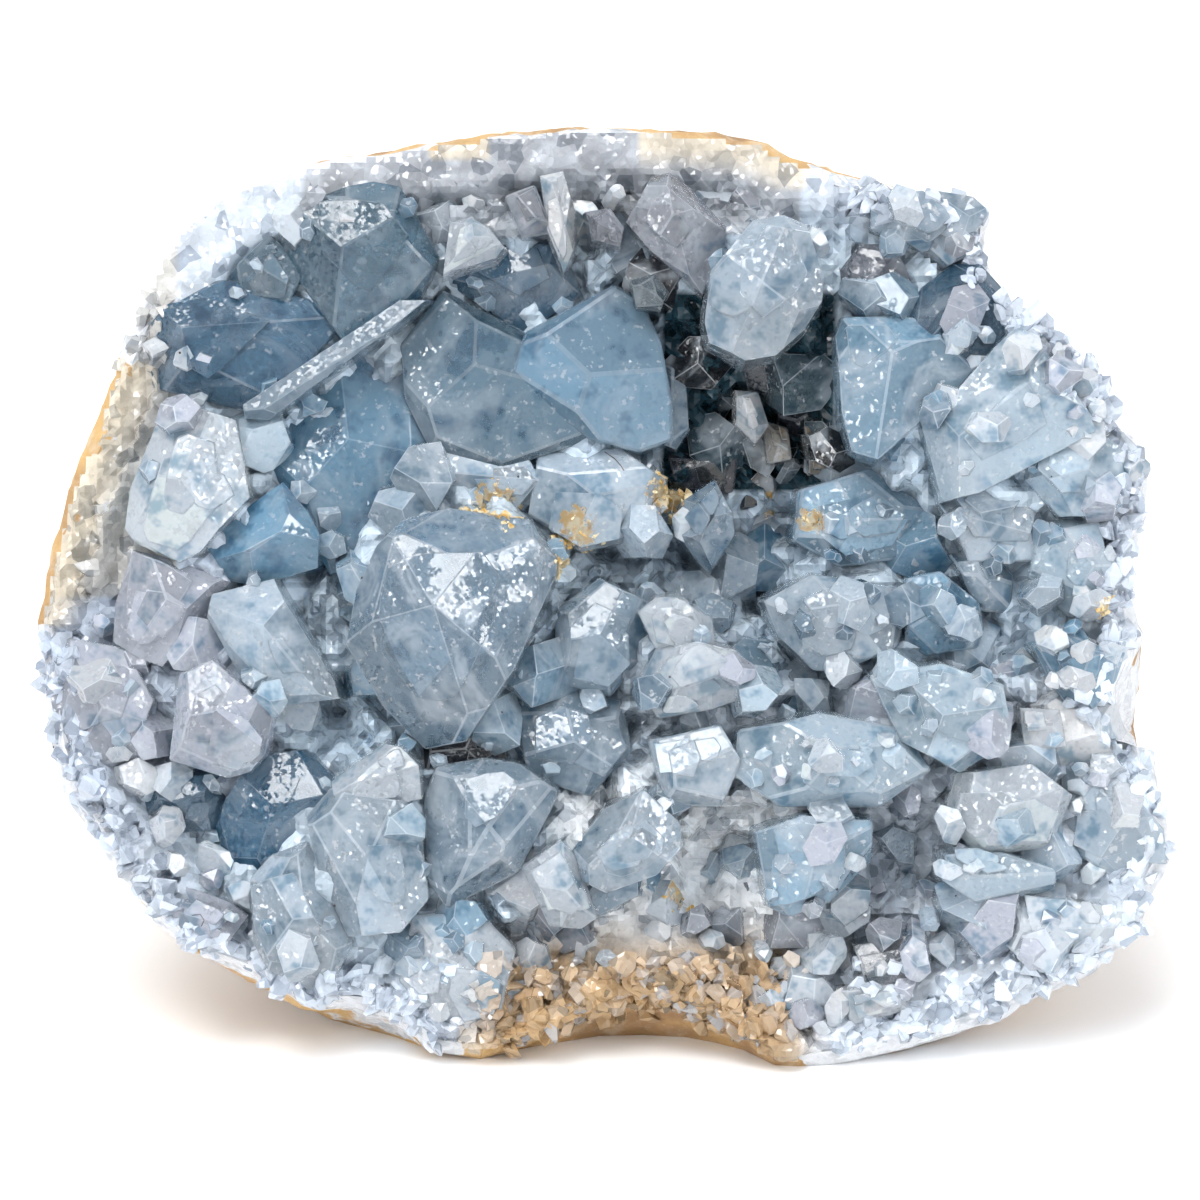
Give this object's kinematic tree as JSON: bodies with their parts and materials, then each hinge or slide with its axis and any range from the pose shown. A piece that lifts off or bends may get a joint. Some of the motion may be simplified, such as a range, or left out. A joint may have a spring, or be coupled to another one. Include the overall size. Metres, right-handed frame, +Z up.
{
  "type": "celestite geode",
  "caption": "Palm-sized section of a celestite geode: a lumpy rock bowl lined with a crust of pale blue crystals, standing on a small ground flat and leaning back.",
  "frame": {"origin": "a point near the middle of the ground flat on which the geode stands", "axes": "+Z up; the crystal-lined hollow faces -Y and 18 degrees up; +X to the viewer's right, along the longest side"},
  "size_m": [0.1144, 0.0615, 0.0897],
  "materials": {
    "host_rock": "matte",
    "celestite": "gloss"
  },
  "bodies": {
    "root": {"rock_wall": "host_rock", "crystal_crust": "celestite"}
  },
  "joints": []
}
